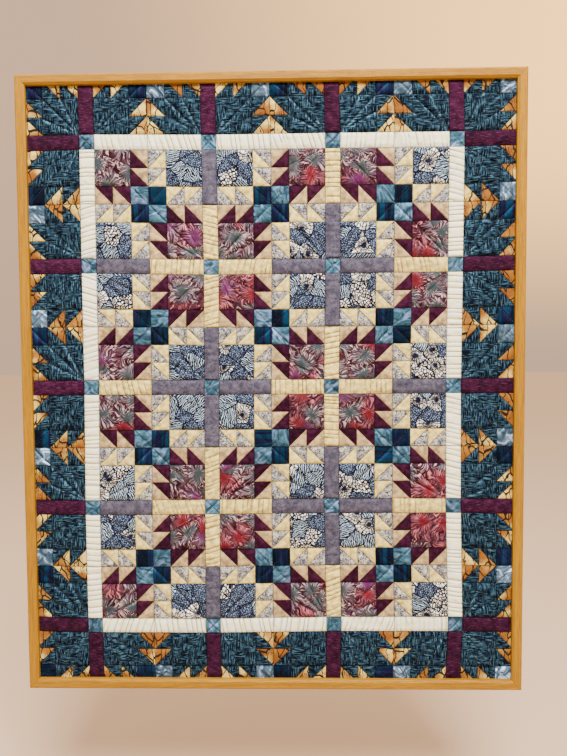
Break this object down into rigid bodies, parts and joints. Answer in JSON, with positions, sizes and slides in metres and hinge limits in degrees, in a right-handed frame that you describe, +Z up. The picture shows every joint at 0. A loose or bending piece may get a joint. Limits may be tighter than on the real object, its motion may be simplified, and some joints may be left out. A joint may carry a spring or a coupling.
{
  "type": "quilt in wooden frame",
  "caption": "Pieced bear's-paw wall quilt with sashing, cornerstones and a half-paw border, puffed by quilting and held by its edge in the groove of a mitred oak frame.",
  "frame": {"origin": "middle of the top rail's back face, where the frame meets the wall", "axes": "+X to the right along the quilt seen from the front, +Y into the wall, +Z up; the front faces -Y"},
  "size_m": [1.076, 0.032, 1.324],
  "materials": {
    "cotton_patchwork": "printed cotton, matte",
    "oak": "clear satin on golden oak"
  },
  "bodies": {
    "root": {"quilt": "cotton_patchwork", "frame_top_rail": "oak", "frame_bottom_rail": "oak", "frame_left_rail": "oak", "frame_right_rail": "oak"}
  },
  "joints": []
}
